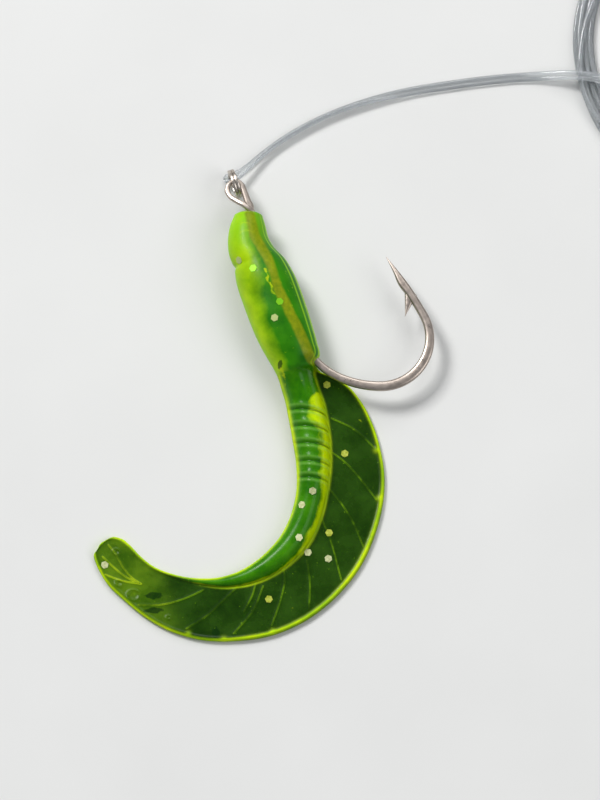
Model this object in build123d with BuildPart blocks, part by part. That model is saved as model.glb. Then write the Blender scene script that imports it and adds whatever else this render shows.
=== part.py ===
from build123d import *

import math
import os

# A rigged curl-tail soft plastic worm, lying flat on a surface, in millimetres.
# +Z is up, the surface is z = 0, +Y points from the tail towards the hook's eye,
# and the origin is the middle of the rigged worm's underside.

# ---------------------------------------------------------------- driving sizes

# Hook
WIRE_D = 1.05                    # round wire of the shank and bend
HOOK_Z = 3.6                     # height of the wire's middle
HOOK_START = (-3.1, 29.35)       # where the shank leaves the eye
HOOK_HEADING = -62.0             # degrees from +X, pointing down the shank
SHANK_NECK = (8.8, -15.0)        # radius and turn of each stretch of the shank and bend
SHANK_BOW = (63.0, 20.0)
SHANK_EXIT = (10.2, 33.0)
BEND_FLOOR = (14.0, 23.4)
BEND_ROUND = (6.9, 119.4)
SPEAR_BOW = (63.0, 3.6)
POINT_LENGTH = 6.0               # tapered length
POINT_TIP_D = 0.12
BARB_ROOT_BACK = 3.4             # along the taper, from its thick end
BARB_ROOT_FRONT = 5.0
BARB_TIP = (19.7, 12.1)
BARB_THICK = 0.5
EYE_CENTRE = (-3.7, 30.45)
EYE_WIRE_D = 0.9
EYE_LOOP_D = 2.5                 # across the wire's middle

# Split ring, standing on edge through the eye
RING_WIDE = 4.2                  # outside diameter
RING_WIRE_RADIAL = 0.5
RING_WIRE_AXIAL = 0.4
RING_COIL_GAP = 0.03
RING_COIL_ANGLE = 318.0
RING_HEADING = 109.0             # degrees from +X, from the eye's middle outward
RING_Z = 2.5                     # it hangs from the eye's wire, just clear of the surface

# Worm body, a round bead along a straight axis
BODY_MIDDLE = (1.26, 14.58)      # a point on the axis
BODY_HEADING = -70.0
BODY_R = 3.95                    # at its widest
BODY_Z = 3.98                    # height of the axis, so that the widest part rests on the surface
HEAD_AT = -13.3                  # along the axis from BODY_MIDDLE
DOME_AT = 8.0
DOME_R = 3.3

# Tail
FLEX_GAP = 0.35                  # clearance round the dome
FIN_THICK = 0.9

# Glitter
FLAKE_WIDE = 1.0                 # across the flats
FLAKE_THICK = 0.06

# Leader, a doubled line
LINE_D = 0.66
BIGHT_R = 0.88                   # of the fold round the split ring
BIGHT_LEG = 0.5                  # from the ring's middle to each end of the fold
BIGHT_SLOPE = -45.0              # where the fold sits on the ring, below its far side
COIL_WIDE = 48.0                 # outside diameter
COIL_BUNDLE = (2.6, 1.8)         # width and height of the bundle of turns
COIL_CENTRE = (67.4, 53.0)


def heading(degrees):
    """A unit vector in the plane of the surface."""
    return Vector(math.cos(math.radians(degrees)), math.sin(math.radians(degrees)), 0)


# ---------------------------------------------------------------- hook

with BuildLine() as hook_path:
    JernArc((*HOOK_START, HOOK_Z), heading(HOOK_HEADING), *SHANK_NECK)
    for radius, turn in (SHANK_BOW, SHANK_EXIT, BEND_FLOOR, BEND_ROUND, SPEAR_BOW):
        JernArc(hook_path.line @ 1, hook_path.line % 1, radius, turn)

point_base = hook_path.line @ 1
point_dir = hook_path.line % 1
barb_corners = (
    point_base + point_dir * BARB_ROOT_BACK,
    Vector(*BARB_TIP),
    point_base + point_dir * BARB_ROOT_FRONT,
)

with BuildPart() as hook:
    with BuildSketch(Plane(origin=hook_path.line @ 0, z_dir=hook_path.line % 0)):
        Circle(WIRE_D / 2)
    sweep(path=hook_path.line)
    for along, width in ((0, WIRE_D), (POINT_LENGTH, POINT_TIP_D)):
        with BuildSketch(Plane(origin=point_base + point_dir * along, z_dir=point_dir)):
            Circle(width / 2)
    loft()
    with BuildSketch(Plane.XY.offset(HOOK_Z - BARB_THICK / 2)):
        with BuildLine():
            Polyline(*[(corner.X, corner.Y) for corner in barb_corners], close=True)
        make_face()
    extrude(amount=BARB_THICK)
    with Locations((*EYE_CENTRE, HOOK_Z)):
        Torus(EYE_LOOP_D / 2, EYE_WIRE_D / 2)
hook.part.label = "hook"

# ---------------------------------------------------------------- split ring

ring_out = heading(RING_HEADING)
ring_axis = heading(RING_HEADING - 90)
ring_centre = Vector(*EYE_CENTRE, 0) + ring_out * (EYE_LOOP_D / 2) + Vector(0, 0, RING_Z)
ring_mid_r = (RING_WIDE - RING_WIRE_RADIAL) / 2
coil_shift = (RING_WIRE_AXIAL + RING_COIL_GAP) / 2
crossover = 360 - RING_COIL_ANGLE

# The ring lies in its own plane first: x points outward along the ring, y points up.
ring_plane = Plane(origin=ring_centre, x_dir=ring_out, z_dir=ring_axis)


def ring_section(angle, shift):
    """The wire's section, at an angle round the ring and a shift along its axis."""
    across = Vector(math.cos(math.radians(angle)), math.sin(math.radians(angle)), 0)
    middle = ring_plane.from_local_coords(across * ring_mid_r + Vector(0, 0, shift))
    outward = ring_plane.from_local_coords(across * RING_WIDE) - ring_centre
    along = ring_axis.cross(outward)
    return Plane(origin=middle, x_dir=outward, z_dir=along)


ring_turn_axis = Axis(ring_centre, ring_axis)

with BuildPart() as split_ring:
    for start, shift in ((crossover, -coil_shift), (0, coil_shift)):
        with BuildSketch(ring_section(start, shift)):
            Rectangle(RING_WIRE_RADIAL, RING_WIRE_AXIAL)
        revolve(axis=ring_turn_axis, revolution_arc=RING_COIL_ANGLE)
    for angle, shift in ((0, -coil_shift), (crossover / 2, 0), (crossover, coil_shift)):
        with BuildSketch(ring_section(angle, shift)):
            Rectangle(RING_WIRE_RADIAL, RING_WIRE_AXIAL)
    loft(ruled=True)
split_ring.part.label = "split_ring"

# ---------------------------------------------------------------- worm body

body_dir = heading(BODY_HEADING)
body_side = heading(BODY_HEADING + 90)
body_axis_start = Vector(*BODY_MIDDLE, BODY_Z)
dome_centre = body_axis_start + body_dir * DOME_AT

# Sideways shift of the middle and radius, at even steps from the head to the dome.
BODY_STATIONS = (
    (0.95, 1.9),
    (0.1, 2.55),
    (-0.25, 2.95),
    (-0.05, 3.45),
    (0.05, 3.85),
    (0.0, BODY_R),
    (-0.1, 3.9),
    (-0.1, 3.7),
    (0.0, DOME_R),
)
body_step = (DOME_AT - HEAD_AT) / (len(BODY_STATIONS) - 1)

with BuildPart() as worm_body:
    for number, (aside, radius) in enumerate(BODY_STATIONS):
        along = HEAD_AT + number * body_step
        middle = body_axis_start + body_dir * along + body_side * aside
        with BuildSketch(Plane(origin=middle, x_dir=body_side, z_dir=body_dir)):
            Circle(radius)
    loft()
    with Locations(dome_centre):
        Sphere(DOME_R)
    add(hook.part, mode=Mode.SUBTRACT)
worm_body.part.label = "worm_body"

# ---------------------------------------------------------------- tail

FIN_OUTER = (
    (6.6, 4.9),
    (11.4, 3.1),
    (15.2, -2.6),
    (16.9, -11.0),
    (14.4, -21.3),
    (7.6, -29.5),
    (-1.3, -33.4),
    (-10.0, -33.4),
    (-18.6, -29.2),
    (-23.3, -23.7),
)
FIN_TIP = (
    (-23.4, -20.4),
    (-21.0, -19.05),
    (-18.7, -20.2),
)
FIN_INNER = (
    (-15.2, -23.3),
    (-9.6, -24.9),
    (-3.2, -23.75),
    (2.2, -19.4),
    (4.65, -11.2),
    (3.6, -2.1),
    (2.1, 4.3),
)

# Middle of the stem, half width, and height of its back above the surface.
STEM_STATIONS = (
    (4.7, 4.6, 2.3, 4.4),
    (5.6, 0.5, 2.6, 4.2),
    (6.65, -5.5, 2.6, 3.9),
    (6.85, -11.4, 2.2, 3.5),
    (5.9, -16.5, 1.95, 3.1),
    (3.5, -21.1, 1.8, 2.7),
    (0.2, -23.9, 1.45, 2.1),
    (-3.4, -25.1, 0.9, 1.6),
)


def cut_round_dome():
    """Cuts the room that the body's dome needs, all the way up, from the current part."""
    with Locations((dome_centre.X, dome_centre.Y, 0)):
        Cylinder(DOME_R + FLEX_GAP, 4 * BODY_R, mode=Mode.SUBTRACT)


with BuildPart() as tail_fin:
    with BuildSketch():
        with BuildLine():
            Spline(*FIN_OUTER, *FIN_TIP, *FIN_INNER)
            Line(FIN_INNER[-1], FIN_OUTER[0])
        make_face()
    extrude(amount=FIN_THICK)
    cut_round_dome()
tail_fin.part.label = "tail_fin"

stem_middles = [Vector(x, y, 0) for x, y, _, _ in STEM_STATIONS]

with BuildPart() as tail_stem:
    for number, (x, y, half_width, height) in enumerate(STEM_STATIONS):
        before = stem_middles[max(number - 1, 0)]
        after = stem_middles[min(number + 1, len(stem_middles) - 1)]
        along = (after - before).normalized()
        with BuildSketch(Plane(origin=(x, y, FIN_THICK), x_dir=along.rotate(Axis.Z, 90), z_dir=along)):
            Ellipse(half_width, height - FIN_THICK)
    loft()
    split(bisect_by=Plane.XY.offset(FIN_THICK))
    cut_round_dome()
tail_stem.part.label = "tail_stem"

# ---------------------------------------------------------------- glitter

SILVER_IN_BODY = ((-3.0, 19.4, 4.3), (1.6, 11.4, 5.4))
GOLD_IN_BODY = ((-1.2, 18.5, 4.9), (2.3, 13.8, 5.2))
SILVER_IN_STEM = ((6.8, -12.5, 2.3), (5.4, -14.4, 2.2), (4.9, -19.4, 1.8))
SILVER_IN_FIN = ((9.0, -22.0, 0.5), (-22.1, -22.8, 0.5), (5.8, -20.7, 0.5))
GOLD_IN_FIN = ((9.3, 2.4, 0.5), (11.3, -6.9, 0.5), (9.2, -18.2, 0.5), (0.8, -27.7, 0.5))


def make_flakes(label, places):
    """Hexagonal flakes cut from foil, lying level inside the plastic."""
    with BuildPart() as flakes:
        for place in places:
            with BuildSketch(Plane(place)):
                RegularPolygon(FLAKE_WIDE / 2, 6, major_radius=False)
            extrude(amount=FLAKE_THICK)
    flakes.part.label = label
    return flakes.part


# ---------------------------------------------------------------- leader

slope = math.radians(BIGHT_SLOPE)
bight_radial = ring_plane.from_local_coords((math.cos(slope), math.sin(slope), 0)) - ring_centre
bight_centre = ring_centre + bight_radial * ring_mid_r
bight_inner = bight_centre - bight_radial * BIGHT_R
bight_outer = bight_centre + bight_radial * BIGHT_R
leg = ring_axis * BIGHT_LEG


def line_tube(label, path):
    """A round length of leader line along a path."""
    with BuildPart() as tube:
        with BuildSketch(Plane(origin=path @ 0, z_dir=path % 0)):
            Circle(LINE_D / 2)
        sweep(path=path)
    length = sum(edge.length for edge in path.edges())
    expected = length * math.pi * LINE_D**2 / 4
    print(label, "length", round(length, 2), "volume share", round(tube.part.volume / expected, 4))
    tube.part.label = label
    return tube.part


def cord_path(points):
    """Straight runs joined by tangent arcs, each as large as its two runs allow."""
    route = [Vector(point) for point in points]
    radii = []
    for before, corner, after in zip(route, route[1:], route[2:]):
        run_in = corner - before
        run_out = after - corner
        half_turn = math.radians(run_in.get_angle(run_out)) / 2
        radii.append(0.45 * min(run_in.length, run_out.length) / math.tan(half_turn))
    print("cord radii", [round(radius, 1) for radius in radii])
    with BuildLine() as path:
        FilletPolyline(*route, radius=radii)
    return path.line


with BuildLine() as bight_path:
    Line(bight_inner + leg, bight_inner - leg)
    ThreePointArc(
        bight_inner - leg,
        bight_centre - leg - ring_axis * BIGHT_R,
        bight_outer - leg,
    )
    Line(bight_outer - leg, bight_outer + leg)

LINE_Z = 0.35                    # a line lying on the surface

INNER_STRAND_ROUTE = (
    bight_inner + leg,
    (-2.8, 32.9, 1.45),
    (-0.5, 35.7, 0.8),
    (3.7, 39.2, 0.4),
    (9.6, 42.25, LINE_Z),
    (17.1, 44.55, LINE_Z),
    (26.1, 45.85, LINE_Z),
    (35.0, 46.85, LINE_Z),
    (44.3, 47.2, LINE_Z),
)
OUTER_STRAND_ROUTE = (
    bight_outer + leg,
    (-3.3, 34.05, LINE_Z),
    (-1.1, 36.3, LINE_Z),
    (3.3, 39.85, LINE_Z),
    (9.4, 42.95, LINE_Z),
    (16.9, 45.25, LINE_Z),
    (26.0, 46.55, LINE_Z),
    (34.9, 47.55, LINE_Z),
    (44.3, 47.95, LINE_Z),
)

with BuildPart() as leader_coil:
    with BuildSketch(Plane.XZ.offset(-COIL_CENTRE[1])):
        with Locations((COIL_CENTRE[0] + COIL_WIDE / 2 - COIL_BUNDLE[0] / 2, COIL_BUNDLE[1] / 2)):
            Ellipse(COIL_BUNDLE[0] / 2, COIL_BUNDLE[1] / 2)
    revolve(axis=Axis((*COIL_CENTRE, 0), (0, 0, 1)))
leader_coil.part.label = "leader_coil"

# ---------------------------------------------------------------- files

pieces = [
    hook.part,
    split_ring.part,
    worm_body.part,
    tail_fin.part,
    tail_stem.part,
    make_flakes("silver_flakes_in_body", SILVER_IN_BODY),
    make_flakes("gold_flakes_in_body", GOLD_IN_BODY),
    make_flakes("silver_flakes_in_tail", SILVER_IN_STEM + SILVER_IN_FIN),
    make_flakes("gold_flakes_in_tail", GOLD_IN_FIN),
    line_tube("leader_bight", bight_path.line),
    line_tube("leader_inner_strand", cord_path(INNER_STRAND_ROUTE)),
    line_tube("leader_outer_strand", cord_path(OUTER_STRAND_ROUTE)),
    leader_coil.part,
]

os.makedirs("parts", exist_ok=True)
for piece in pieces:
    export_step(piece, f"parts/{piece.label}.step")

lure_box = Compound(pieces[:9]).bounding_box()
print("without the leader", lure_box)
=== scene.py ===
import math

import bpy
import numpy as np
from mathutils import Matrix, Vector
from mathutils.bvhtree import BVHTree


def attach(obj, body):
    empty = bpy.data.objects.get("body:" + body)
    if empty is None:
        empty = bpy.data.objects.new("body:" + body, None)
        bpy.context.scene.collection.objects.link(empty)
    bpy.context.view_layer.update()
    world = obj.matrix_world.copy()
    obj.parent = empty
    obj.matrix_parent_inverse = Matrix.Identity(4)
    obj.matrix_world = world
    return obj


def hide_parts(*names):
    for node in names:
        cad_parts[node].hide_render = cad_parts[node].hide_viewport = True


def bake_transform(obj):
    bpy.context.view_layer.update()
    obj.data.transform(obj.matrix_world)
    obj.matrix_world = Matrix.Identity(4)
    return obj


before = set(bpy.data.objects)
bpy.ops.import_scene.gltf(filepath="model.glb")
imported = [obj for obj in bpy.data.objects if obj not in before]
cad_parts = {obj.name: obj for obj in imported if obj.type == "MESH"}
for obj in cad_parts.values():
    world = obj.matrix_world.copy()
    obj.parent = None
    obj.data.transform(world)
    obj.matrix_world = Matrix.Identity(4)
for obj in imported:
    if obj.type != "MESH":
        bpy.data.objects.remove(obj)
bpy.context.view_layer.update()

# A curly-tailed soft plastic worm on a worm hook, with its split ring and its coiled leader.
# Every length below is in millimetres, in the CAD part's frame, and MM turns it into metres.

MM = 0.001
UP = (0, 0, 1)
FAR = 3.0                    # mm, a distance at which a line on the plastic no longer shows


# ---------------------------------------------------------------- helpers


def metres(points):
    """Turns one point or a list of points from millimetres into metres."""
    return np.asarray(points, dtype=float) * MM


def bump(x, centre, width):
    """A smooth hill of height 1 at centre."""
    return np.exp(-(((x - centre) / width) ** 2))


def hills(x, rows):
    """The sum of smooth hills, each given as (height, centre, width)."""
    return sum(height * bump(x, centre, width) for height, centre, width in rows)


def ramp(x, start, end):
    """Rises smoothly from 0 at start to 1 at end."""
    u = np.clip((x - start) / (end - start), 0, 1)
    return u * u * (3 - 2 * u)


def through(rows, count):
    """Runs a smooth curve through rows of numbers, spaced by their first columns' distances.

    Returns count rows at even steps, and how far along each one is."""
    rows = np.asarray(rows, dtype=float)
    steps = np.linalg.norm(np.diff(rows[:, :3], axis=0), axis=1)
    knots = np.concatenate([[0], np.cumsum(steps)])
    slopes = np.gradient(rows, knots, axis=0)
    at = np.linspace(0, knots[-1], count)
    i = np.clip(np.searchsorted(knots, at, side="right") - 1, 0, len(knots) - 2)
    h = (knots[i + 1] - knots[i])[:, None]
    u = (at[:, None] - knots[i][:, None]) / h
    curve = (
        (2 * u**3 - 3 * u**2 + 1) * rows[i]
        + (u**3 - 2 * u**2 + u) * h * slopes[i]
        + (3 * u**2 - 2 * u**3) * rows[i + 1]
        + (u**3 - u**2) * h * slopes[i + 1]
    )
    return curve, at


def quarter_round(share):
    """The height of a quarter circle, 0 at share 0 and 1 from share 1 on."""
    return np.sqrt(np.clip(1 - (1 - np.clip(share, 0, 1)) ** 2, 0, 1))


def loft(name, rings, material):
    """Skins rings of points (count x ring x 3, in mm) and closes both ends with a point."""
    rings = np.asarray(rings)
    count, ring = rings.shape[:2]
    verts = list(metres(rings.reshape(-1, 3)))
    faces = []
    for i in range(count - 1):
        a = i * ring
        b = a + ring
        for j in range(ring):
            k = (j + 1) % ring
            faces.append((a + j, a + k, b + k, b + j))
    last = (count - 1) * ring
    verts.append(metres(rings[0].mean(axis=0)))
    verts.append(metres(rings[-1].mean(axis=0)))
    for j in range(ring):
        k = (j + 1) % ring
        faces.append((k, j, len(verts) - 2))
        faces.append((last + j, last + k, len(verts) - 1))
    return mesh_piece(name, verts, faces, material)


def mesh_piece(name, verts, faces, material):
    """A new smooth-shaded object from corners in metres."""
    mesh = bpy.data.meshes.new(name)
    mesh.from_pydata([tuple(v) for v in verts], [], faces)
    mesh.shade_smooth()
    mesh.materials.append(material)
    piece = bpy.data.objects.new(name, mesh)
    bpy.context.collection.objects.link(piece)
    return piece


def rounded_section(power, sides):
    """The x and y of a closed section 2 wide: power 2 is a circle, and more is squarer."""
    turn = np.arange(sides) * 2 * math.pi / sides
    x = np.sign(np.cos(turn)) * np.abs(np.cos(turn)) ** (2 / power)
    y = np.sign(np.sin(turn)) * np.abs(np.sin(turn)) ** (2 / power)
    return x, y


def directions(path):
    """The unit direction that a path runs in, at each of its points."""
    runs = np.gradient(path, axis=0)
    return runs / np.linalg.norm(runs, axis=1)[:, None]


def sweep(path, wides, thicks, power, sides):
    """Rings of a rounded section along path: wides across, thicks upwards."""
    path = np.asarray(path, dtype=float)
    tangents = directions(path)
    across = np.cross(tangents, UP)
    across /= np.linalg.norm(across, axis=1)[:, None]
    above = np.cross(across, tangents)
    x, y = rounded_section(power, sides)
    return (
        path[:, None, :]
        + across[:, None, :] * (x[None, :] * wides[:, None] / 2)[:, :, None]
        + above[:, None, :] * (y[None, :] * thicks[:, None] / 2)[:, :, None]
    )


def distance_to(points, line):
    """How far each (x, y) point is from a line of runs, in mm."""
    best = np.full(len(points), 1e9)
    line = np.asarray(line, dtype=float)
    for start, end in zip(line[:-1], line[1:]):
        run = end - start
        u = np.clip((points - start) @ run / (run @ run), 0, 1)
        gap = np.linalg.norm(points - start - u[:, None] * run, axis=1)
        best = np.minimum(best, gap)
    return best


def gap_to_lines(points, lines, shape):
    """How far each point is from the nearest of several smooth lines, up to FAR."""
    nearest = np.full(shape, FAR)
    for line in lines:
        smooth, _ = through([(*place, 0.0) for place in line], 24)
        nearest = np.minimum(nearest, distance_to(points, smooth[:, :2]).reshape(shape))
    return nearest


def set_attribute(piece, name, values):
    """Stores one number for each vertex of the piece, for its material to read."""
    layer = piece.data.attributes.new(name, "FLOAT", "POINT")
    layer.data.foreach_set("value", np.asarray(values, dtype=np.float32))


# ---------------------------------------------------------------- material helpers


class Nodes:
    """A new material's node tree, with short ways to add and join nodes."""

    def __init__(self, name):
        self.material = bpy.data.materials.new(name)
        self.material.use_nodes = True
        self.tree = self.material.node_tree
        self.shader = self.tree.nodes["Principled BSDF"]
        self.where = self.add("ShaderNodeTexCoord").outputs["Object"]

    def add(self, kind, **settings):
        node = self.tree.nodes.new(kind)
        for key, value in settings.items():
            setattr(node, key, value)
        return node

    def join(self, source, socket):
        """Links a node's output to a socket, or puts a plain number or colour on it."""
        if hasattr(source, "is_output"):
            self.tree.links.new(source, socket)
        else:
            socket.default_value = source

    def noise(self, scale, detail, rough):
        node = self.add("ShaderNodeTexNoise")
        self.join(self.where, node.inputs["Vector"])
        node.inputs["Scale"].default_value = scale
        node.inputs["Detail"].default_value = detail
        node.inputs["Roughness"].default_value = rough
        return node.outputs["Fac"]

    def span(self, value, low, high, to_low=0.0, to_high=1.0):
        """Turns low..high into to_low..to_high, and holds those limits outside it."""
        node = self.add("ShaderNodeMapRange", clamp=True)
        self.join(value, node.inputs["Value"])
        node.inputs["From Min"].default_value = low
        node.inputs["From Max"].default_value = high
        node.inputs["To Min"].default_value = to_low
        node.inputs["To Max"].default_value = to_high
        return node.outputs["Result"]

    def math(self, operation, a, b=0.0):
        node = self.add("ShaderNodeMath", operation=operation)
        self.join(a, node.inputs[0])
        self.join(b, node.inputs[1])
        return node.outputs[0]

    def mix(self, amount, a, b):
        node = self.add("ShaderNodeMix", data_type="RGBA")
        self.join(amount, node.inputs["Factor"])
        self.join(a, node.inputs[6])
        self.join(b, node.inputs[7])
        return node.outputs[2]

    def attribute(self, name):
        return self.add("ShaderNodeAttribute", attribute_name=name).outputs["Fac"]

    def beside(self, value, middle, near, far, strength):
        """A line of the given strength where value is near middle, gone at far from it."""
        gap = self.math("ABSOLUTE", self.math("SUBTRACT", value, middle))
        return self.span(gap, near, far, strength, 0)

    def bump_map(self, heights, strength, distance):
        """Joins (height, weight) pairs into one bump on the shader."""
        total = 0.0
        for height, weight in heights:
            total = self.math("ADD", total, self.math("MULTIPLY", height, weight))
        node = self.add("ShaderNodeBump")
        node.inputs["Strength"].default_value = strength
        node.inputs["Distance"].default_value = distance * MM
        self.join(total, node.inputs["Height"])
        self.join(node.outputs["Normal"], self.shader.inputs["Normal"])

    def shader_values(self, **values):
        for key, value in values.items():
            self.shader.inputs[key.replace("_", " ")].default_value = value


def srgb(red, green, blue):
    """A colour as it looks on screen, 0 to 255, in the shader's linear numbers."""
    linear = []
    for part in (red, green, blue):
        c = part / 255
        linear.append(c / 12.92 if c <= 0.04045 else ((c + 0.055) / 1.055) ** 2.4)
    return (*linear, 1.0)


# ---------------------------------------------------------------- camera

ELEVATION = math.radians(76)
CAMERA_DISTANCE = 1800.0
CAMERA_TARGET = (5.04, 1.0, 0.0)
VIEW_HEIGHT = 112.0          # of the view, at the target
SENSOR = 36.0

camera_data = bpy.data.cameras.new("camera")
camera_data.sensor_width = SENSOR
camera_data.lens = SENSOR * CAMERA_DISTANCE / VIEW_HEIGHT
camera_data.clip_start = 0.01
camera = bpy.data.objects.new("camera", camera_data)
bpy.context.collection.objects.link(camera)
back = Vector((0, -math.cos(ELEVATION), math.sin(ELEVATION)))
camera.location = (Vector(CAMERA_TARGET) + back * CAMERA_DISTANCE) * MM
camera.rotation_euler = (math.pi / 2 - ELEVATION, 0, 0)
bpy.context.scene.camera = camera


# ---------------------------------------------------------------- clear line

LINE_D = 0.66
FLOOR_Z = 0.35               # of the middle of a line that lies on the floor
FOLD_TOP = (-5.4, 32.57, 1.192)

COIL_CENTRE = (67.4, 53.0)
COIL_R = 22.25               # to the middle of the bundle of turns
STEPS = 16                   # of the spline's points in each turn
TURNS = 3.95
CHANGE_FROM = 0.72           # of a turn, where a strand starts to move to its next slot
CHANGE_TO = 0.95
STRAY = 0.08                 # how far a strand wanders in and out everywhere

# Round the coil, in (mm or share, degrees, width in degrees): where the bundle spreads, and
# where the last turn of each strand stands off from it.
SPREADS = ((0.3, 158, 14), (0.6, 216, 16))
INNER_LAST_TURN = ((0.3, 175, 11), (0.4, 207, 10))
OUTER_LAST_TURN = ((1.5, 200, 14), (-1.6, 156, 16))


def clear_line_material():
    m = Nodes("clear_line")
    haze = m.noise(160, 2, 0.5)
    m.join(m.mix(haze, srgb(222, 226, 228), srgb(236, 239, 241)), m.shader.inputs["Base Color"])
    m.join(m.span(haze, 0.3, 0.7, 0.03, 0.07), m.shader.inputs["Roughness"])
    m.shader_values(IOR=1.5, Transmission_Weight=0.8, Specular_IOR_Level=0.7)
    return m.material


def coil_points(start_deg, slots, phase, last_turn):
    """The turns of one strand: a loop round the coil's centre that moves from slot to slot.

    A slot is a place in the bundle: how far out from its middle, and how high."""
    last_slot = len(slots) - 1
    points = []
    for step in range(int(TURNS * STEPS) + 1):
        turns = step / STEPS
        angle = start_deg + turns * 360
        here = min(int(turns), last_slot)
        after = min(here + 1, last_slot)
        shift = ramp(turns % 1.0, CHANGE_FROM, CHANGE_TO)
        out = slots[here][0] * (1 - shift) + slots[after][0] * shift
        height = slots[here][1] * (1 - shift) + slots[after][1] * shift
        face = angle % 360
        spread = 1 + hills(face, SPREADS)
        stray = STRAY * math.sin(math.radians(2.3 * angle + phase))
        if here == last_slot:
            stray += hills(face, last_turn)
        radius = (COIL_R + out * spread + stray) / math.cos(math.pi / STEPS)
        turn = math.radians(angle)
        points.append((
            COIL_CENTRE[0] + radius * math.cos(turn),
            COIL_CENTRE[1] + radius * math.sin(turn),
            height,
        ))
    return points


INNER_SLOTS = [(-0.95, 0.33), (-0.31, 0.33), (0.33, 0.33), (0.97, 0.33)]
OUTER_SLOTS = [(-0.66, 0.9), (0.0, 0.9), (0.66, 0.9), (0.33, 1.47)]

# Each strand: half of the fold round the ring, the way out over the floor, the hump over
# the coil's near side, and the floor inside the coil up to where the turns begin.
INNER_ROUTE = [
    FOLD_TOP, (-5.2, 31.98, 1.814), (-3.858, 32.443, 1.814),
    (-2.5, 33.9, 1.5), (0.1, 36.6, 1.02), (3.6, 39.15, 1.0), (8.5, 41.9, 1.0),
    (14.1, 43.95, 0.95), (19.7, 45.2, 0.5), (25.0, 46.1, FLOOR_Z), (32.5, 47.15, FLOOR_Z),
    (38.5, 47.55, FLOOR_Z), (43.6, 47.3, 2.2), (47.8, 46.7, 2.2), (52.5, 45.4, FLOOR_Z),
    (58.5, 42.4, FLOOR_Z), (64.0, 38.3, FLOOR_Z), (69.5, 34.2, FLOOR_Z),
    (74.5, 32.2, FLOOR_Z),
]
OUTER_ROUTE = [
    FOLD_TOP, (-5.6, 33.16, 0.57), (-4.263, 33.62, 0.57),
    (-3.0, 34.2, 0.4), (-0.2, 36.7, FLOOR_Z), (3.3, 39.35, FLOOR_Z), (8.4, 42.15, FLOOR_Z),
    (14.0, 44.3, FLOOR_Z), (19.6, 45.85, FLOOR_Z), (25.0, 46.78, FLOOR_Z),
    (32.5, 47.82, FLOOR_Z), (38.5, 48.25, FLOOR_Z), (43.4, 48.05, 2.2), (47.9, 47.45, 2.2),
    (52.8, 46.2, FLOOR_Z), (59.5, 43.0, FLOOR_Z), (65.5, 39.0, FLOOR_Z),
    (71.0, 35.4, FLOOR_Z), (76.0, 34.0, 0.5),
]


def line_piece(name, points, material):
    """A round line on a smooth spline that has the points as its control points."""
    curve = bpy.data.curves.new(name, "CURVE")
    curve.dimensions = "3D"
    curve.bevel_depth = LINE_D / 2 * MM
    curve.bevel_resolution = 4
    curve.resolution_u = 5
    curve.use_fill_caps = True
    spline = curve.splines.new("NURBS")
    spline.points.add(len(points) - 1)
    for point, place in zip(spline.points, points):
        point.co = (*metres(place), 1.0)
    spline.order_u = 3
    spline.use_endpoint_u = True
    curve.materials.append(material)
    piece = bpy.data.objects.new(name, curve)
    bpy.context.collection.objects.link(piece)
    return piece


clear_line = clear_line_material()
inner_turns = coil_points(-52, INNER_SLOTS, 20, INNER_LAST_TURN)
outer_turns = coil_points(-47, OUTER_SLOTS, 140, OUTER_LAST_TURN)
inner_line = line_piece("leader_inner", INNER_ROUTE + inner_turns, clear_line)
outer_line = line_piece("leader_outer", OUTER_ROUTE + outer_turns, clear_line)
for line in (inner_line, outer_line):
    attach(line, "leader")
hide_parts("leader_bight", "leader_inner_strand", "leader_coil")
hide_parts("leader_outer_strand")


# ---------------------------------------------------------------- worm

AXIS_Z = 3.98                # height of the body's middle
RINGS = 520
TOP_POINTS = 104             # of a ring, over its top, from its left edge to its right
UNDER_POINTS = 40            # of a ring, back under it

# Body stations from the head to the neck: left edge (x, y), right edge (x, y), top height.
BODY_ROWS = [
    (-4.25, 26.45, -0.15, 26.35, 6.0), (-4.75, 25.15, 0.2, 25.1, 6.45),
    (-5.05, 23.3, 0.6, 23.5, 6.8), (-4.95, 21.2, 1.45, 21.95, 7.2),
    (-4.2, 19.0, 3.05, 20.2, 7.6), (-3.8, 16.6, 4.25, 18.1, 7.95),
    (-2.9, 13.8, 5.1, 16.0, 7.95), (-1.85, 10.9, 6.0, 13.3, 7.95),
    (-0.7, 8.2, 6.8, 10.7, 7.8), (0.4, 6.2, 7.45, 8.3, 7.35),
    (1.25, 4.8, 7.8, 6.5, 6.75), (1.75, 3.9, 7.1, 5.3, 6.15),
]
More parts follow.
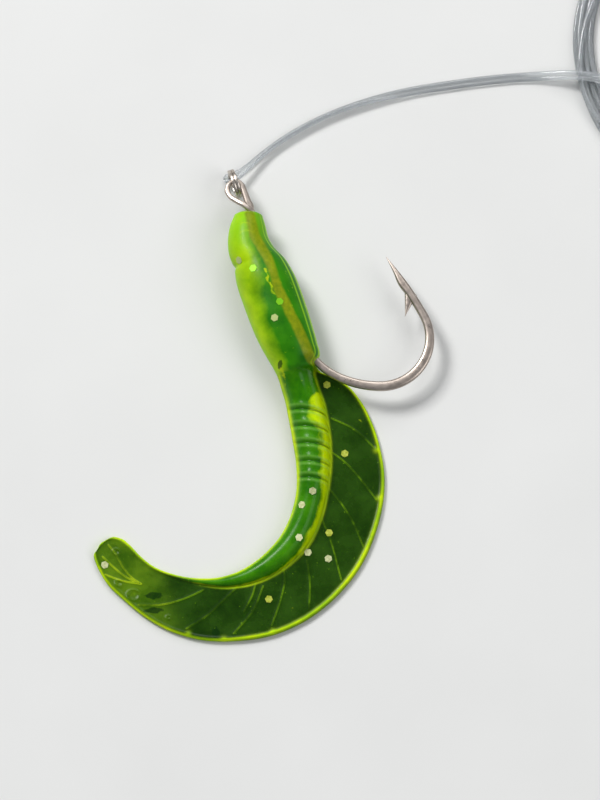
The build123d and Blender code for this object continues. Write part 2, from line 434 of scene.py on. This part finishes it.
# Tail stations from the neck to the tip: inner edge (x, y), outer edge (x, y), the stem's
# top height, and the part of the width that the stem takes.
TAIL_ROWS = [
    (2.0, 3.35, 8.3, 4.75, 5.5, 0.8), (2.25, 2.7, 10.4, 3.85, 5.0, 0.62),
    (2.55, 1.8, 12.3, 2.4, 4.6, 0.53), (2.95, 0.5, 13.95, 0.1, 4.35, 0.49),
    (3.4, -1.8, 15.25, -2.7, 4.15, 0.46), (3.95, -4.9, 16.25, -6.0, 4.0, 0.43),
    (4.45, -8.2, 16.85, -9.7, 3.75, 0.39), (4.55, -11.7, 16.7, -13.7, 3.5, 0.355),
    (3.95, -15.1, 15.75, -17.9, 3.2, 0.345), (2.45, -18.5, 13.8, -22.6, 2.85, 0.34),
    (0.2, -21.2, 10.9, -26.6, 2.4, 0.31), (-2.55, -23.3, 7.0, -30.1, 1.95, 0.26),
    (-6.0, -24.6, 1.8, -32.75, 1.5, 0.19), (-9.5, -24.75, -3.9, -33.75, 1.15, 0.12),
    (-12.7, -24.15, -9.75, -33.4, 0.95, 0.08), (-15.55, -22.95, -15.1, -31.3, 0.85, 0.06),
    (-17.55, -21.25, -19.4, -28.0, 0.82, 0.05), (-18.85, -19.85, -22.1, -25.2, 0.8, 0.05),
    (-19.85, -19.1, -23.3, -23.0, 0.8, 0.05), (-21.1, -18.85, -23.75, -21.4, 0.8, 0.05),
    (-21.85, -19.2, -23.45, -20.95, 0.8, 0.05), (-22.5, -19.6, -23.1, -20.35, 0.7, 0.05),
]
NECK_FROM = 19.0             # along the worm, where its underside starts down to the floor
NECK_TO = 26.5
NECK_FADE = 7.0              # past the neck, over which the stem loses its thick side
FIN_THICK = 0.8
EDGE_R = 0.42                # of the rounding along the tail's edges
EDGE_Z = 0.4                 # height of the middle of that rounding
RIM_BEAD = 0.12              # how far the fin's edge bead stands up
STEM_BLEND = 0.18            # of the fillet where the stem meets the fin
FLOOR_GAP = 0.01             # under the tail
RIB_YS = (-1.2, -3.5, -5.9, -8.4, -10.7)
RIB_SLANT = 0.12
RIB_MIDDLE_X = 5.7
RIB_DEPTH = 0.3
RIB_CREST = 0.12
NOTCH_ALONG = 8.4            # the small nick in the body's left edge
NOTCH_DEPTH = 0.22
VEINS = [
    [(9.4, -1.8), (12.3, -3.2), (15.7, -6.3)],
    [(9.5, -6.7), (11.3, -8.1), (13.2, -10.2), (15.7, -13.5)],
    [(9.0, -11.8), (10.6, -13.8), (12.3, -16.5), (13.9, -20.3)],
    [(7.8, -15.6), (9.1, -18.8), (10.8, -25.0)],
    [(6.0, -22.3), (6.4, -25.2), (6.3, -29.2)],
    [(2.7, -23.4), (2.9, -24.9), (2.4, -27.6), (1.1, -31.5)],
    [(-1.1, -25.2), (-1.5, -26.9), (-2.8, -29.6)],
    [(-0.1, -25.9), (-1.5, -29.4), (-4.2, -32.7)],
    [(-3.2, -25.5), (-5.2, -27.5), (-8.0, -30.2), (-10.8, -32.0)],
    [(-8.5, -26.5), (-10.1, -27.3), (-12.2, -28.1), (-14.4, -28.6), (-17.5, -28.6)],
    [(-21.7, -20.0), (-20.7, -21.3), (-19.6, -23.3), (-18.2, -24.9), (-17.1, -25.6)],
    [(-22.1, -24.3), (-19.6, -25.2), (-17.2, -25.6)],
    [(-22.5, -21.7), (-21.2, -23.0), (-19.4, -24.5), (-17.6, -25.5)],
]
RIM_KNOTS = [(15.7, -6.4), (16.1, -13.3), (1.3, -32.4), (-5.6, -33.5), (-10.5, -32.7)]
STRIPE = [(-2.0, 26.4), (-1.35, 23.1), (0.75, 19.2), (2.0, 15.1), (4.1, 10.8), (6.6, 5.6)]
YELLOW_MARKS = [
    [(0.1, 17.9), (0.55, 16.9), (0.45, 16.3), (1.0, 15.6), (1.1, 14.7), (1.6, 14.2)],
    [(-3.4, 23.4), (-2.8, 23.75), (-2.0, 23.8), (-1.5, 23.5)],
    [(-3.5, 24.7), (-2.8, 25.0), (-2.3, 24.9)],
    [(2.3, 4.2), (2.9, 3.2), (3.0, 2.2)],
    [(6.7, 6.4), (7.1, 5.9), (7.3, 5.3)],
    [(13.35, -2.1), (13.5, -2.15)],
    [(4.0, -29.05), (4.1, -29.1)],
]
# Dark patches: x, y, half length along x, half width along y.
DARK_SPOTS = [(-15.3, -27.3, 1.25, 0.5), (-15.3, -29.4, 1.35, 0.42), (-6.7, -32.5, 0.6, 0.75),
              (2.25, 4.7, 0.35, 0.6)]
# Ring-shaped bubbles: x, y, radius.
BUBBLES = [(-18.2, -27.2, 0.75), (-20.2, -25.5, 0.42), (-20.6, -21.0, 0.4),
           (-22.3, -26.0, 0.3), (-18.6, -29.1, 0.3), (-3.9, -23.9, 0.3),
           (-13.3, -30.4, 0.25)]


def worm_rings():
    """The worm's points, ring by ring, and facts on each: how far along, from its edges, ..."""
    body = [row + (1.0, 0.0) for row in BODY_ROWS]
    tail = [row + (1.0,) for row in TAIL_ROWS]
    rows, along = through(body + tail, RINGS)
    left = rows[:, 0:2]
    right = rows[:, 2:4]
    stem_h = np.clip(rows[:, 4], 0.5, 8)[:, None]
    share = np.clip(rows[:, 5], 0.04, 1)[:, None]
    flat = ramp(rows[:, 6], 0.05, 0.95)[:, None]
    width = np.linalg.norm(right - left, axis=1)[:, None]

    over = (1 - np.cos(np.linspace(0, math.pi, TOP_POINTS))) / 2
    under = (1 + np.cos(np.linspace(0, math.pi, UNDER_POINTS + 2)))[1:-1] / 2
    s = np.concatenate([over, under])[None, :]
    is_top = np.concatenate([np.ones(TOP_POINTS), np.zeros(UNDER_POINTS)])[None, :]
    inner = s * width
    outer = (1 - s) * width

    # Round body.
    low = (AXIS_Z - width / 2) * (1 - ramp(along, NECK_FROM, NECK_TO))[:, None]
    low = np.clip(low, 0.02, AXIS_Z)
    arch = np.sqrt(np.clip(1 - (2 * s - 1) ** 2, 0, 1))
    round_z = (stem_h + low) / 2 + np.where(is_top > 0, 1, -1) * (stem_h - low) / 2 * arch

    # Stem with a flat underside, and the thin fin beside it.
    middle = share * width / 2
    from_middle = (inner - middle) / middle
    arch = np.sqrt(np.clip(1 - from_middle**2, 0, 1))
    neck = 1 - ramp(along, NECK_TO, NECK_TO + NECK_FADE)[:, None]
    edge_z = EDGE_Z + (0.12 + 0.34 * neck) * stem_h * (inner < middle)
    stem = np.where(inner < middle, edge_z + (stem_h - edge_z) * arch, stem_h * arch)
    inner_bead = bump(inner, EDGE_R, 0.3) * (stem_h < 1.4)
    skin = FIN_THICK + RIM_BEAD * (bump(outer, EDGE_R, 0.3) + 0.7 * inner_bead)
    fin = EDGE_Z + (skin - EDGE_Z) * quarter_round(outer / EDGE_R)
    fin = EDGE_Z + (fin - EDGE_Z) * np.where(inner < middle, quarter_round(inner / EDGE_R), 1)
    gap = stem - fin
    top_z = fin + (gap + np.sqrt(gap**2 + STEM_BLEND**2)) / 2 - STEM_BLEND / 2 * (outer > 0.5)
    top_z = np.where(s >= 1, EDGE_Z, np.where(s <= 0, edge_z, top_z))
    lift = np.minimum(outer / EDGE_R, inner / (EDGE_R + 0.2 * stem_h))
    floor_z = edge_z * (1 - quarter_round(lift))
    flat_z = np.where(is_top > 0, top_z, floor_z + FLOOR_GAP)

    z = round_z * (1 - flat) + flat_z * flat
    xy = left[:, None, :] + (right - left)[:, None, :] * s[:, :, None]
    rings = np.concatenate([xy, z[:, :, None]], axis=2)
    facts = {
        "along": np.repeat(along[:, None], s.shape[1], axis=1),
        "inner": inner,
        "outer": outer,
        "s": np.repeat(s, RINGS, axis=0),
        "top": np.repeat(is_top, RINGS, axis=0),
        "flat": np.repeat(flat, s.shape[1], axis=1),
        "on_stem": ramp(stem - fin, -0.1, 0.5) * flat + (1 - flat),
        "to_seam": share * width - inner,
        "seam": bump(inner - share * width, 0.06, 0.17) * flat * ramp(share, 0.1, 0.22),
    }
    return rings, facts


END_STEPS = 9


def close_end(rings, facts, last, depth):
    """Rounds an end off with rings that shrink like a quarter circle."""
    rings = np.asarray(rings)
    end = rings[-1] if last else rings[0]
    nearby = rings[-4] if last else rings[3]
    centre = end.mean(axis=0)
    ahead = centre - nearby.mean(axis=0)
    ahead /= np.linalg.norm(ahead)
    extra = []
    for i in range(1, END_STEPS):
        turn = math.pi / 2 * i / END_STEPS
        extra.append(centre + (end - centre) * math.cos(turn) + ahead * depth * math.sin(turn))
    extra = np.array(extra)
    new_facts = {}
    for key, values in facts.items():
        row = values[-1:] if last else values[:1]
        rows = np.repeat(row, END_STEPS - 1, axis=0)
        new_facts[key] = np.concatenate([values, rows] if last else [rows, values])
    if last:
        return np.concatenate([rings, extra]), new_facts
    return np.concatenate([extra[::-1], rings]), new_facts


def worm_piece(material):
    """The worm with its ribs, veins, knots, nick and bubbles, and what its material reads."""
    rings, facts = worm_rings()
    rings, facts = close_end(rings, facts, last=False, depth=0.75)
    rings, facts = close_end(rings, facts, last=True, depth=0.1)
    shape = rings.shape[:2]
    flat_xy = rings[:, :, :2].reshape(-1, 2)
    x = rings[:, :, 0].copy()
    y = rings[:, :, 1].copy()
    top = facts["top"]
    along = facts["along"]
    tail = facts["flat"]
    on_fin = tail * (1 - facts["on_stem"]) * top
    ribbed = tail * facts["on_stem"] * top

    vein_gap = gap_to_lines(flat_xy, VEINS, shape)
    mark_gap = gap_to_lines(flat_xy, YELLOW_MARKS, shape)
    stripe_gap = distance_to(flat_xy, STRIPE).reshape(shape)
    # The stem's bright right part, as a share of its width there.
    glow_wide = 2.6 - 1.0 * ramp(y, -1.8, -4) - 0.8 * ramp(y, -8, -14) - 0.5 * ramp(y, -18, -23)
    glow = facts["to_seam"] / glow_wide + 1.5 * ramp(y + 0.6 * facts["to_seam"], 1.2, 2.2)
    dark = 0
    for px, py, half_x, half_y in DARK_SPOTS:
        dark = dark + np.exp(-np.hypot((x - px) / half_x, (y - py) / half_y) ** 4)
    knot = sum(bump(np.hypot(x - px, y - py), 0, 0.4) for px, py in RIM_KNOTS)

    slanted_y = y + RIB_SLANT * (x - RIB_MIDDLE_X)
    rib_gap = np.min([np.abs(slanted_y - rib_y) for rib_y in RIB_YS], axis=0)
    groove = bump(rib_gap, 0, 0.24)
    crest = sum(bump(slanted_y - rib_y, 0.55, 0.4) for rib_y in RIB_YS)
    rings[:, :, 2] += ribbed * (RIB_CREST * crest - RIB_DEPTH * groove)
    rings[:, :, 2] += on_fin * (0.045 * bump(vein_gap, 0, 0.2) + 0.04 * knot)
    notch = bump(along, NOTCH_ALONG, 0.45) * bump(facts["s"], 0.0, 0.3) * (1 - tail)
    rings[:, :, 0] += NOTCH_DEPTH * notch
    for bx, by, br in BUBBLES:
        gap = np.hypot((x - bx) / 1.15, y - by)
        rings[:, :, 2] += on_fin * (0.14 * bump(gap, br, 0.12) - 0.08 * bump(gap, 0, br * 0.7))

    piece = loft("worm", rings, material)
    # The painted rim glow is wider low on the curl and thinner round the club.
    low_rim = 0.16 * ramp(along, 42, 52) * (1 - ramp(along, 72, 80))
    thin_rim = 0.07 * ramp(along, 74, 82)
    painted_rim_glow = bump(facts["outer"], 0.22 + low_rim - thin_rim, 0.25 + 0.5 * low_rim - thin_rim) * tail
    inner_rim = bump(facts["inner"], 0.16, 0.26 - thin_rim) * tail
    tip_rim = bump(along[-1, 0] - along, 0.1, 0.45)
    # Painted glow: bright lime along the fin's edges, the tip, the knots and the stem's seam, for
    # light carried there.
    painted_glows = painted_rim_glow + inner_rim + tip_rim + 0.5 * knot * on_fin + 0.9 * facts["seam"]
    lime_to = 0.42 - 0.28 * ramp(along, 4, 21)
    fields = {
        "stem": facts["on_stem"],
        "vein_gap": vein_gap,
        "on_fin": on_fin,
        "painted_rim_glow": np.clip(painted_glows, 0, 1),
        "rib_gap": rib_gap,
        "ribbed": ribbed,
        "body": 1 - tail,
        "lime": lime_to - facts["s"],
        "side": facts["s"],
        "along": along,
        "stripe": stripe_gap,
        "glow": glow,
        "mark_gap": mark_gap + FAR * (1 - top),
        "dark": np.clip(dark, 0, 1),
        "club": ramp(along, 83, 93),
    }
    for name, values in fields.items():
        ends = [values[0].mean(), values[-1].mean()]
        set_attribute(piece, name, np.concatenate([values.reshape(-1), ends]))
    return piece


def body_colour(m, fine, cloud):
    """Bright left third, deep middle, the shank's olive line, a deep band and painted edge glow.
    """
    side = m.attribute("side")
    lime = m.mix(m.span(cloud, 0.35, 0.65), srgb(136, 180, 0), srgb(168, 206, 4))
    deep = m.mix(m.span(cloud, 0.3, 0.7), srgb(24, 100, 0), srgb(58, 138, 2))
    into = m.math("ADD", m.attribute("lime"), m.span(cloud, 0.3, 0.7, -0.05, 0.05))
    skin = m.mix(m.span(into, -0.15, 0.1), deep, lime)
    head = m.span(m.attribute("along"), 2.0, 7.0, 0.75, 0)
    skin = m.mix(head, skin, m.mix(side, srgb(150, 208, 20), srgb(104, 168, 6)))
    stripe = m.math("ADD", m.attribute("stripe"), m.span(cloud, 0.3, 0.7, -0.12, 0.12))
    olive = m.mix(m.span(fine, 0.35, 0.65), srgb(112, 132, 2), srgb(140, 150, 8))
    skin = m.mix(m.span(stripe, 0.5, 0.85, 0.92, 0), skin, olive)
    # Painted glow: lime lines at the body's edges stand in for light the plastic carries there.
    right_edge_glow = m.span(side, 0.955, 0.975)
    beside_edge_glow = m.beside(side, 0.9, 0.006, 0.018, 0.7)
    left_edge_glow = m.span(side, 0.01, 0.04, 0.8, 0)
    for line in (right_edge_glow, beside_edge_glow, left_edge_glow):
        skin = m.mix(line, skin, srgb(150, 206, 4))
    return skin


def tail_colour(m, cloud):
    """Dark clear fin, mid-green stem with ribs in painted shade and highlight, bright right part,
    lime veins.
    """
    club = m.attribute("club")
    fin = m.mix(m.span(cloud, 0.3, 0.7), srgb(20, 52, 0), srgb(38, 76, 0))
    club_green = m.mix(m.span(cloud, 0.35, 0.65), srgb(52, 90, 2), srgb(88, 124, 6))
    fin = m.mix(club, fin, club_green)
    stem = m.mix(m.span(cloud, 0.3, 0.7), srgb(34, 104, 0), srgb(70, 142, 0))
    glow = m.math("ADD", m.attribute("glow"), m.span(cloud, 0.35, 0.65, 0.35, -0.35))
    stem = m.mix(m.span(glow, 0.55, 1.15, 0.95, 0), stem, srgb(200, 230, 0))
    ribbed = m.attribute("ribbed")
    rib_gap = m.attribute("rib_gap")
    # Painted shade: the grooves between the ribs are darkened in the colour.
    groove = m.math("MULTIPLY", m.span(rib_gap, 0.06, 0.2, 0.65, 0), ribbed)
    # Painted highlight: a pale bluish-green line along each rib's crest.
    crest = m.beside(rib_gap, 0.5, 0.05, 0.3, 0.28)
    tail = m.mix(m.attribute("stem"), fin, stem)
    # The painted highlight on the rib crests.
    tail = m.mix(m.math("MULTIPLY", crest, ribbed), tail, srgb(140, 196, 90))
    # The painted shade in the grooves.
    tail = m.mix(groove, tail, srgb(14, 74, 0))
    vein = m.beside(m.attribute("vein_gap"), 0.08, 0.01, 0.07, 1)
    vein = m.math("MULTIPLY", vein, m.span(cloud, 0.42, 0.6, 0.1, 0.9))
    vein = m.math("MULTIPLY", vein, m.attribute("on_fin"))
    return m.mix(vein, tail, m.mix(club, srgb(98, 138, 0), srgb(168, 192, 20)))


def soft_plastic_material():
    m = Nodes("soft_plastic")
    fine = m.noise(1400, 4, 0.6)
    cloud = m.noise(260, 4, 0.6)
    broad = m.noise(90, 3, 0.5)
    colour = m.mix(m.attribute("body"), tail_colour(m, cloud), body_colour(m, fine, cloud))

    # On both: dark patches, a painted glow on the rims, ragged yellow marks and fine specks.
    ragged = m.math("ADD", m.attribute("dark"), m.span(fine, 0.3, 0.7, -0.35, 0.35))
    colour = m.mix(m.math("MULTIPLY", m.span(ragged, 0.3, 0.6), 0.8), colour, srgb(4, 44, 0))
    # Painted glow: the rims take a bright lime in place of light that gathers at the clear edges.
    painted_rim_glow = m.mix(m.span(cloud, 0.35, 0.65), srgb(150, 196, 0), srgb(206, 234, 0))
    colour = m.mix(m.attribute("painted_rim_glow"), colour, painted_rim_glow)
    mark = m.math("ADD", m.attribute("mark_gap"), m.span(fine, 0.3, 0.7, -0.14, 0.2))
    mark = m.span(mark, 0.06, 0.2, 0.8, 0)
    mark = m.math("MULTIPLY", mark, m.span(cloud, 0.42, 0.52, 0.25, 1))
    colour = m.mix(mark, colour, srgb(186, 206, 4))
    specks = m.span(fine, 0.66, 0.72, 0, 0.4)
    colour = m.mix(specks, colour, srgb(140, 196, 10))
    m.join(colour, m.shader.inputs["Base Color"])
    rough = m.span(cloud, 0.3, 0.7, 0.2, 0.34)
    for name, more in (("body", 0.14), ("painted_rim_glow", 0.3)):
        rough = m.math("ADD", rough, m.math("MULTIPLY", m.attribute(name), more))
    m.join(rough, m.shader.inputs["Roughness"])
    m.shader_values(IOR=1.45, Specular_IOR_Level=0.16, Subsurface_Weight=0.3,
                    Subsurface_Radius=(0.5, 1.0, 0.1), Subsurface_Scale=0.5 * MM,
                    Coat_Weight=0.02, Coat_Roughness=0.08)
    m.bump_map([(fine, 0.2), (cloud, 0.6), (broad, 1.2)], 0.25, 0.25)
    return m.material


def across_neck(piece):
    """Bakes a piece's placing into its mesh; the piece runs from the body to the tail over the
    neck, unbent.
    """
    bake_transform(piece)


worm = worm_piece(soft_plastic_material())
across_neck(worm)
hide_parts("worm_body", "tail_fin", "tail_stem")


# ---------------------------------------------------------------- flakes

FLAKE_R = 0.55               # centre to corner
FLAKE_LIFT = 0.03            # off the plastic, so a flat flake clears a curved surface
ABOVE_WORM = 20              # height from which a flake's place is dropped onto the plastic
# A flake's levels from its underside to its flat top: share of FLAKE_R, and height.
FLAKE_LEVELS = ((1.0, -0.1), (1.0, 0.02), (0.88, 0.045), (0.3, 0.04))
SILVER_BODY = [(-3.5, 19.6), (1.5, 10.9)]
GOLD_BODY = [(-1.5, 18.1), (2.2, 13.2)]
SILVER_TAIL = [(6.8, -12.9), (5.3, -14.8), (4.9, -19.4), (6.15, -21.1), (9.0, -22.0),
               (-22.2, -22.9)]
GOLD_TAIL = [(8.8, 3.0), (11.3, -6.9), (9.1, -18.3), (0.7, -27.8)]


def foil_material(name, low, high, sunk):
    """Foil from low to high, and the colour it takes on where it is sunk in the green body."""
    m = Nodes(name)
    grain = m.noise(2600, 3, 0.7)
    foil = m.mix(m.span(grain, 0.35, 0.65), low, high)
    m.join(m.mix(m.attribute("sunk"), foil, sunk), m.shader.inputs["Base Color"])
    m.join(m.span(grain, 0.3, 0.7, 0.3, 0.42), m.shader.inputs["Roughness"])
    m.shader_values(Metallic=0.4, Coat_Weight=0.3, Coat_Roughness=0.1)
    m.bump_map([(grain, 1.0)], 0.08, 0.02)
    return m.material


def flake_piece(name, places, material):
    """Bevelled hexagons of foil, each lying on the plastic's surface."""
    surface = BVHTree.FromPolygons(
        [v.co for v in worm.data.vertices], [tuple(p.vertices) for p in worm.data.polygons])
    verts = []
    faces = []
    for n, (x, y) in enumerate(places):
        above = Vector(metres((x, y, ABOVE_WORM)))
        hit, normal, _, _ = surface.ray_cast(above, Vector((0, 0, -1)))
        hit = hit + normal * FLAKE_LIFT * MM
        tilt = normal.to_track_quat("Z", "Y").to_matrix().to_4x4()
        turn = Matrix.Rotation(0.4 + 1.3 * n, 4, "Z")
        place = Matrix.Translation(hit) @ tilt @ turn
        base = len(verts)
        for share, height in FLAKE_LEVELS:
            r = FLAKE_R * share
            for corner in range(6):
                angle = corner * math.pi / 3
                point = metres((r * math.cos(angle), r * math.sin(angle), height))
                verts.append(place @ Vector(point))
        spans = len(FLAKE_LEVELS) - 1
        for level in range(spans):
            for corner in range(6):
                a = base + level * 6 + corner
                b = base + level * 6 + (corner + 1) % 6
                faces.append((a, b, b + 6, a + 6))
        faces.append(tuple(base + spans * 6 + corner for corner in range(6)))
        faces.append(tuple(base + 5 - corner for corner in range(6)))
    piece = mesh_piece(name, verts, faces, material)
    piece.data.shade_flat()
    return piece


silver = foil_material("silver_foil", srgb(176, 182, 122), srgb(214, 218, 170),
                       srgb(176, 190, 116))
gold = foil_material("gold_foil", srgb(158, 170, 30), srgb(196, 204, 84), srgb(126, 200, 2))
for name, places, material, slot in (
    ("silver_flakes_body", SILVER_BODY, silver, "silver_foil"),
    ("gold_flakes_body", GOLD_BODY, gold, "gold_foil"),
    ("silver_flakes_tail", SILVER_TAIL, silver, "silver_foil"),
    ("gold_flakes_tail", GOLD_TAIL, gold, "gold_foil"),
):
    flakes = flake_piece(name, places, material)
    in_body = name.endswith("_body")
    set_attribute(flakes, "sunk", [float(in_body)] * len(flakes.data.vertices))
    if in_body:
        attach(flakes, "lure")
        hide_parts(name.replace("_body", "_in_body"))
    else:
        across_neck(flakes)
        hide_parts(name.replace("_tail", "_in_tail"))


# ---------------------------------------------------------------- hook

HOOK_Z = 3.6
WIRE_D = 1.05
SHANK_START = (-3.1, 29.35)
SHANK_HEADING = -62.0
# The shank and the bend as arcs: radius, and turn in degrees, to the left if positive.
HOOK_ARCS = [(8.8, -15), (63, 20), (10.2, 33), (14, 23.4), (6.9, 119.4), (63, 3.6)]
WIRE_STEP = 0.3              # between the points of the wire's middle line
EYE_STEPS = 8                # of the shank's first points, which the eye's route stands for
POINT_LENGTH = 6.0
EYE_WIRE = 0.72              # the eye's wire, as a share of the shank's
FORGED_AT = 20.0             # from the tip, where the bend is hammered flat
FORGED_WIDTH = 10.5
BLADE_AT = 4.2               # from the tip, where the point's blade is widest
BLADE_WIDTH = 1.5
BARB = [(20.25, 16.6), (20.85, 14.3), (19.75, 12.15)]    # outer root, inner root, tip

# The eye, from its tucked end over the shank and round to the shank itself.
EYE_ROUTE = [
    (-1.3, 26.8, 4.25), (-2.0, 27.4, 4.5), (-2.9, 28.1, 4.5), (-3.9, 28.75, 4.25),
    (-4.75, 29.45, 3.95), (-5.15, 30.4, 3.75), (-4.85, 31.3, 3.65), (-4.0, 31.75, 3.6),
    (-3.2, 31.2, 3.6), (-2.75, 30.1, 3.6), (-2.35, 28.9, 3.6), (-1.95, 27.7, 3.6),
]


def arc_points(start, heading, arcs):
    """The points along arcs that follow each other from start, and the last heading."""
    x, y = start
    heading = math.radians(heading)
    points = [(x, y)]
    for radius, turn in arcs:
        turn = math.radians(turn)
        pieces = max(3, round(radius * abs(turn) / WIRE_STEP))
        for _ in range(pieces):
            bit = turn / pieces
            run = 2 * radius * math.sin(abs(bit) / 2)
            x += run * math.cos(heading + bit / 2)
            y += run * math.sin(heading + bit / 2)
            heading += bit
            points.append((x, y))
    return points, heading


def steel_material(name, low, high, rough):
    m = Nodes(name)
    grain = m.noise(1800, 4, 0.65)
    patches = m.noise(320, 3, 0.6)
    colour = m.mix(m.span(patches, 0.35, 0.65), low, high)
    m.join(colour, m.shader.inputs["Base Color"])
    m.join(m.span(grain, 0.3, 0.7, rough, rough + 0.16), m.shader.inputs["Roughness"])
    m.shader_values(Metallic=0.95)
    m.bump_map([(grain, 0.6), (patches, 0.6)], 0.12, 0.03)
    return m.material


def hook_piece(material):
    """One wire from the eye's tucked end to the point, forged flat in the bend."""
    bend, heading = arc_points(SHANK_START, SHANK_HEADING, HOOK_ARCS)
    direction = np.array([math.cos(heading), math.sin(heading)])
    steps = np.arange(WIRE_STEP, POINT_LENGTH + 0.01, WIRE_STEP)
    point = [tuple(np.array(bend[-1]) + direction * step) for step in steps]
    shank = [(*place, HOOK_Z) for place in bend[EYE_STEPS:] + point]
    path, along = through(EYE_ROUTE + shank, 620)
    to_tip = along[-1] - along
    wire = WIRE_D * (EYE_WIRE + (1 - EYE_WIRE) * ramp(along, 7.5, 12.0))
    wire *= 0.55 + 0.45 * ramp(along, 0.0, 0.5)
    wire *= 1 - 0.95 * np.clip(1 - to_tip / POINT_LENGTH, 0, 1) ** 1.6
    forged = bump(to_tip, FORGED_AT, FORGED_WIDTH)
    blade = 0.26 * bump(to_tip, BLADE_AT, BLADE_WIDTH)
    wide = wire * (1 + 0.36 * forged + blade)
    thick = wire * (1 - 0.15 * forged)
    # The point's blade grows on the side that faces the shank only.
    inward = np.cross(UP, directions(path))
    path = path + inward * (wire * blade / 2)[:, None]
    return loft("hook_wire", sweep(path, wide, thick, 2.9, 28), material)


def barb_piece(material):
    """A sliver cut up from the inner side of the point, leaning back towards the bend."""
    outer, root, tip = (np.array(point) for point in BARB)
    path = []
    wides = []
    steps = np.linspace(0, 1, 18)
    for t in steps:
        one = outer * (1 - t) + tip * t
        other = root * (1 - t) + tip * t
        path.append((*((one + other) / 2), HOOK_Z))
        wides.append(max(np.linalg.norm(one - other) * 0.75, 0.05))
    thicks = 0.7 - 0.55 * steps
    return loft("hook_barb", sweep(path, np.array(wides), thicks, 2.8, 16), material)


nickel = steel_material("nickel_steel", srgb(168, 156, 146), srgb(186, 174, 164), 0.26)
hook = hook_piece(nickel)
barb = barb_piece(nickel)
for piece in (hook, barb):
    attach(piece, "lure")
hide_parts("hook")


# ---------------------------------------------------------------- split ring

RING_CENTRE = (-4.107, 31.632, 2.5)
RING_HEADING = math.radians(109)
RING_MID_R = 1.85
RING_WIRE_WIDE = 0.5
RING_WIRE_THICK = 0.45
COIL_APART = 0.46
# Angles round the ring, in degrees.
RING_START = -12
RING_TURNS = 714             # nearly two turns, so the ends show
RING_JOG = 21                # each side of the middle, over which the wire changes coils
RING_END_TAPER = 9


def ring_piece(material):
    """Two flat coils of one wire, with a jog where the wire steps from one to the other."""
    axis = np.array([math.sin(RING_HEADING), -math.cos(RING_HEADING), 0])
    outward = np.array([math.cos(RING_HEADING), math.sin(RING_HEADING), 0])
    upward = np.array(UP)
    turns = np.radians(np.linspace(RING_START, RING_START + RING_TURNS, 190))
    middle = (turns[0] + turns[-1]) / 2
    jog = ramp(turns, middle - math.radians(RING_JOG), middle + math.radians(RING_JOG))
    from_end = np.minimum(turns - turns[0], turns[-1] - turns)
    thin = 0.6 + 0.4 * ramp(from_end, 0, math.radians(RING_END_TAPER))
    sx, sy = rounded_section(4, 16)
    rings = []
    for turn, step, size in zip(turns, jog, thin):
        radial = outward * math.cos(turn) + upward * math.sin(turn)
        centre = np.array(RING_CENTRE) + radial * RING_MID_R + axis * COIL_APART * (step - 0.5)
        rings.append(
            centre
            + radial * (sx * RING_WIRE_WIDE / 2 * size)[:, None]
            + axis * (sy * RING_WIRE_THICK / 2 * size)[:, None]
        )
    return loft("ring", np.array(rings), material)


ring_steel = steel_material("ring_steel", srgb(178, 168, 158), srgb(214, 206, 196), 0.2)
ring = ring_piece(ring_steel)
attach(ring, "ring")
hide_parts("split_ring")


# ---------------------------------------------------------------- floor and lights

FLOOR_HALF = 3000
FLOOR_Z_DROP = 0.02          # below the object, so the two never share a plane


def floor_piece():
    """A plain pale floor, which isn't part of the object."""
    m = Nodes("floor")
    mottle = m.noise(40, 3, 0.5)
    m.join(m.mix(mottle, srgb(214, 214, 212), srgb(222, 222, 220)), m.shader.inputs["Base Color"])
    m.shader_values(Roughness=0.75, Specular_IOR_Level=0.2)
    sides = [(-1, -1), (1, -1), (1, 1), (-1, 1)]
    corners = metres([(x * FLOOR_HALF, y * FLOOR_HALF, -FLOOR_Z_DROP) for x, y in sides])
    piece = mesh_piece("floor", corners, [(0, 1, 2, 3)], m.material)


def area_light(name, place, power, size):
    """A soft white square light that faces the camera's target."""
    light = bpy.data.lights.new(name, "AREA")
    light.energy = power
    light.size = size * MM
    lamp = bpy.data.objects.new(name, light)
    lamp.location = metres(place)
    aim = Vector(CAMERA_TARGET) * MM - lamp.location
    lamp.rotation_euler = aim.to_track_quat("-Z", "Y").to_euler()
    bpy.context.collection.objects.link(lamp)


floor_piece()
area_light("key", (-570, 570, 920), 11.1, 350)
area_light("fill", (840, -260, 840), 3.9, 700)
area_light("back", (130, 920, 920), 4.4, 660)

world = bpy.data.worlds.new("studio")
world.use_nodes = True
sky = world.node_tree.nodes["Background"]
sky.inputs["Color"].default_value = (0.92, 0.95, 1.0, 1)
sky.inputs["Strength"].default_value = 0.28
bpy.context.scene.world = world
bpy.context.scene.view_settings.view_transform = "Standard"
